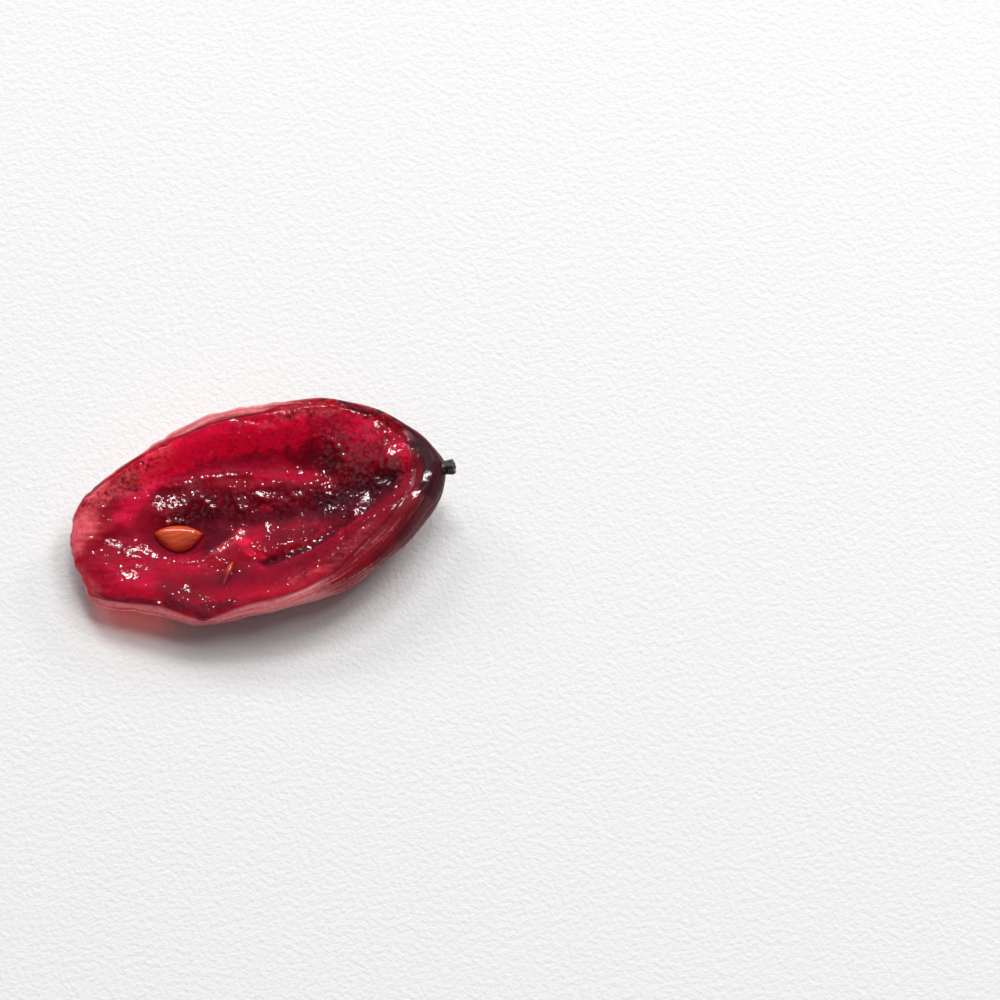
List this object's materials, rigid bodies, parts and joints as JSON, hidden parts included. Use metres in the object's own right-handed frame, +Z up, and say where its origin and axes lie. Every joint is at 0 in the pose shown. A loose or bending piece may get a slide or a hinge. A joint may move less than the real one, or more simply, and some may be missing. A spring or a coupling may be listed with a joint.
{
  "type": "dried cranberry",
  "caption": "Dried cranberry cut in half lengthwise: a glossy, wrinkled, dark red boat with a hollow cut face, seeds and a stub of stem.",
  "frame": {"origin": "on the surface it rests on, under the middle of its box", "axes": "+X along the fruit towards its stem end, +Y towards the high edge of the cut face, +Z up"},
  "size_m": [0.0166, 0.009, 0.0038],
  "materials": {
    "fruit": "soft, sticky dried fruit: wet gloss on the cut face, satin gloss on the wrinkled skin",
    "seed_coat": "smooth, slightly glossy seed coat with fine lengthwise lines"
  },
  "bodies": {
    "root": {"berry": "fruit", "seed": "seed_coat", "sunken_seed": "seed_coat"}
  },
  "joints": []
}
